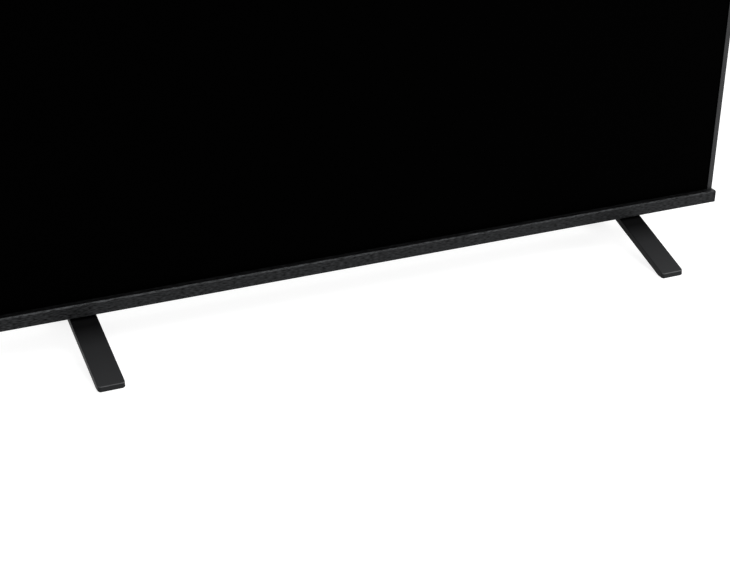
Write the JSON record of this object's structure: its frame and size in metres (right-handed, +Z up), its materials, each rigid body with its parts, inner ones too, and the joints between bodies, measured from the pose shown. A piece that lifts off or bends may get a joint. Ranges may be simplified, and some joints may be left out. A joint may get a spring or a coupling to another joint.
{
  "type": "flat screen television",
  "caption": "Flat screen television with a brushed bar under a black screen, a slim frame and two blade feet; thin upper back with a deeper lower housing, recessed sockets and a wall mount.",
  "frame": {"origin": "on the floor, half way between the feet from side to side and half way along them from front to back, in the plane of the bottom bar's front face", "axes": "+X to the viewer's right, +Y from the screen to the back, +Z up"},
  "size_m": [1.2392, 0.2468, 0.7727],
  "materials": {
    "bar_metal": "brushed along its length, dark grey, satin",
    "rail_metal": "dark grey satin coat",
    "panel_glass": "black display glass with an anti-glare front",
    "frame_moulding": "black moulding",
    "cover_moulding": "fine-grained dark grey moulding",
    "clear_film": "frosted optical film",
    "white_sheet": "white reflecting sheet",
    "pan_steel": "zinc-coated pressed steel",
    "light_bar": "white light bar with clear lenses",
    "circuit_board": "green circuit board",
    "socket_steel": "plated socket shells",
    "socket_moulding": "black socket moulding",
    "sink_metal": "plain extruded",
    "screw_steel": "black-oxide screws",
    "insert_steel": "zinc-plated threaded pillars",
    "foot_coat": "dark grey satin coat",
    "pad_rubber": "plain rubber",
    "key_moulding": "satin black key",
    "window_moulding": "dark window",
    "cone_moulding": "pressed speaker cone",
    "driver_steel": "pressed basket and magnet",
    "wire_cover": "insulated wires",
    "ribbon_film": "flat printed ribbon"
  },
  "bodies": {
    "set": {"bottom_bar": "bar_metal", "left_rail": "rail_metal", "right_rail": "rail_metal", "top_rail": "rail_metal", "lcd_panel": "panel_glass", "panel_frame": "frame_moulding", "prism_film": "clear_film", "brightness_film": "clear_film", "diffuser_plate": "clear_film", "reflector": "white_sheet", "back_pan": "pan_steel", "led_bar_1": "light_bar", "led_bar_2": "light_bar", "led_bar_3": "light_bar", "board_standoffs": "insert_steel", "board_screws": "screw_steel", "main_board": "circuit_board", "heat_sink": "sink_metal", "power_board": "circuit_board", "timing_board": "circuit_board", "rear_cover": "cover_moulding", "cover_screws": "screw_steel", "mount_inserts": "insert_steel", "hdmi_jacks": "socket_steel", "usb_jacks": "socket_steel", "network_jack": "socket_steel", "optical_jack": "socket_moulding", "audio_jack": "socket_moulding", "antenna_jack": "socket_steel", "power_inlet": "socket_moulding", "wireless_module": "socket_steel", "key_board": "circuit_board", "receiver_window": "window_moulding", "panel_cable": "ribbon_film", "board_harness": "wire_cover", "foot_screws": "screw_steel", "left_speaker_box": "frame_moulding", "left_speaker_driver": "driver_steel", "left_foot": "foot_coat", "left_foot_bracket": "pan_steel", "left_front_pad": "pad_rubber", "left_rear_pad": "pad_rubber", "right_speaker_box": "frame_moulding", "right_speaker_driver": "driver_steel", "right_foot": "foot_coat", "right_foot_bracket": "pan_steel", "right_front_pad": "pad_rubber", "right_rear_pad": "pad_rubber"},
    "power_key": {"power_key": "key_moulding"},
    "left_cone": {"left_speaker_cone": "cone_moulding"},
    "right_cone": {"right_speaker_cone": "cone_moulding"}
  },
  "joints": [
    {"name": "power_key_press", "type": "slide", "parent": "set", "child": "power_key", "axis": [0, 0, 1], "range_m": [0, 0.0008], "stiffness_N_per_m": 1500, "springref_m": -0.0003},
    {"name": "left_cone_stroke", "type": "slide", "parent": "set", "child": "left_cone", "axis": [0, 0, 1], "range_m": [-0.0008, 0.0008], "stiffness_N_per_m": 1500},
    {"name": "right_cone_stroke", "type": "slide", "parent": "set", "child": "right_cone", "axis": [0, 0, 1], "range_m": [-0.0008, 0.0008], "stiffness_N_per_m": 1500}
  ]
}
